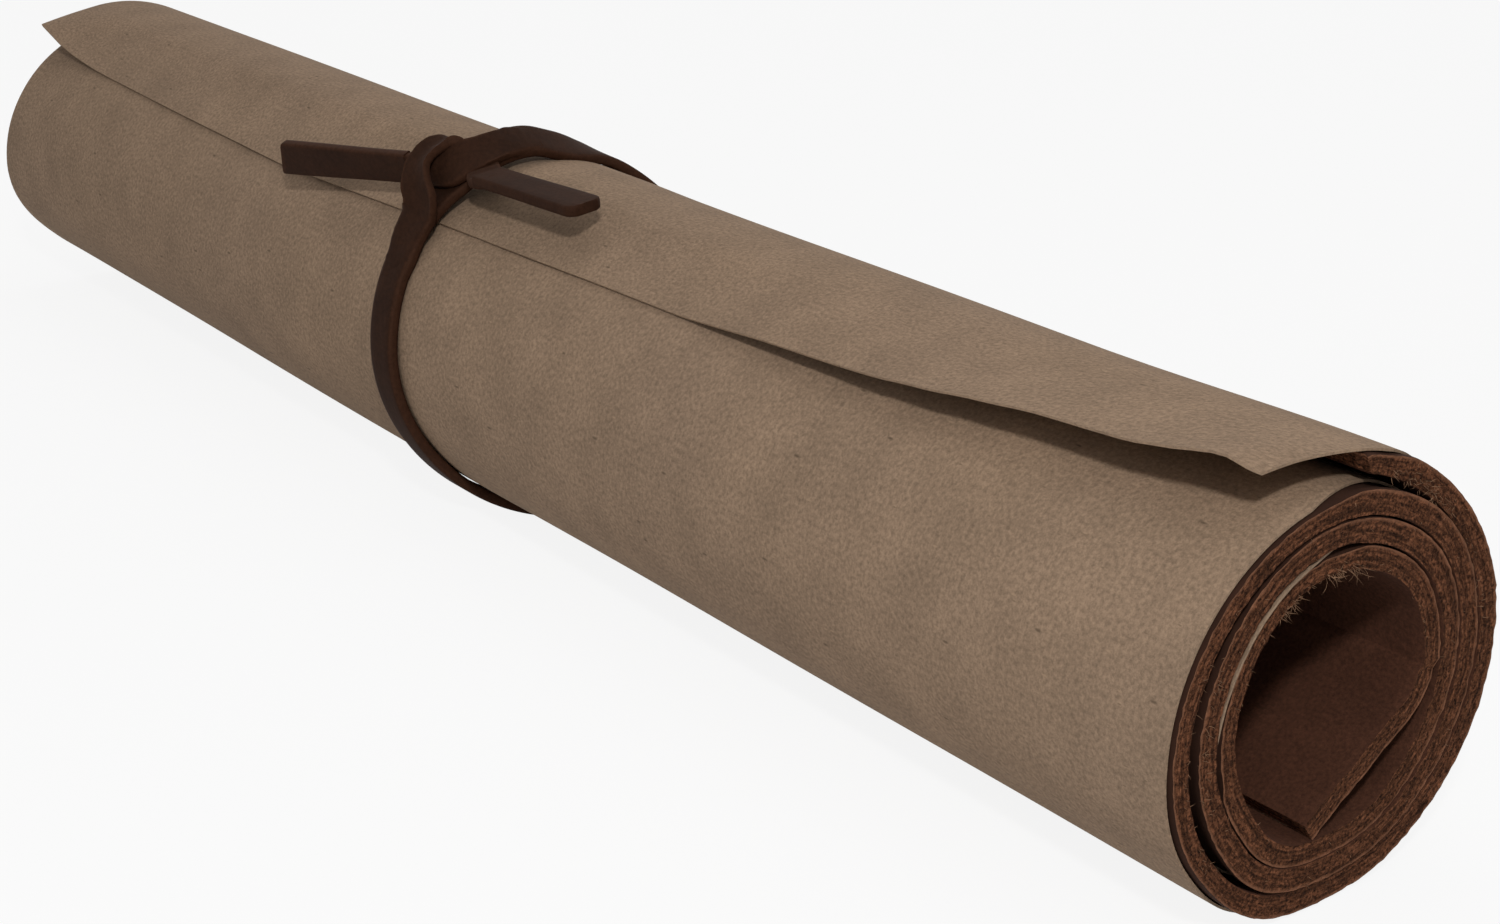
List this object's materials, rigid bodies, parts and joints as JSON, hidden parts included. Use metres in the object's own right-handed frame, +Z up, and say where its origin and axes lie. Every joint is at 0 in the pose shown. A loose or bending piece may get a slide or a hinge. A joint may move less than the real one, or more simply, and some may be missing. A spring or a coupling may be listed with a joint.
{
  "type": "leather roll",
  "caption": "Leather sheet faced with kraft paper, rolled into a hollow tube and tied shut by a knotted leather lace that slides along the roll.",
  "frame": {"origin": "middle of the part's box on the surface it lies on, which the underside of the lace touches", "axes": "+X along the roll towards the end that shows its turns, -Y towards the flap's free edge and the knot, +Z up"},
  "size_m": [0.305, 0.0556, 0.0573],
  "materials": {
    "suede_leather": "matte",
    "kraft_paper": "matte",
    "lace_leather": "satin"
  },
  "bodies": {
    "roll": {"leather_sheet": "suede_leather", "kraft_sheet": "kraft_paper"},
    "lace": {"lace_loop": "lace_leather", "lace_knot": "lace_leather"},
    "tail_left": {"lace_tail_left": "lace_leather"},
    "tail_right": {"lace_tail_right": "lace_leather"}
  },
  "joints": [
    {"name": "lace_slide", "type": "slide", "parent": "roll", "child": "lace", "axis": [1, 0, 0], "range_m": [-0.185, 0.196]},
    {"name": "tail_left_flex", "type": "hinge", "parent": "lace", "child": "tail_left", "pos_m": [-0.01568, -0.01687, 0.05145], "axis": [-0.1022, -0.0634, 0.9927], "range_deg": [-5, 60], "stiffness_Nm_per_rad": 0.006},
    {"name": "tail_right_flex", "type": "hinge", "parent": "lace", "child": "tail_right", "pos_m": [0.00632, -0.0136, 0.05359], "axis": [0.0492, -0.9891, -0.1386], "range_deg": [-5, 60], "stiffness_Nm_per_rad": 0.006}
  ]
}
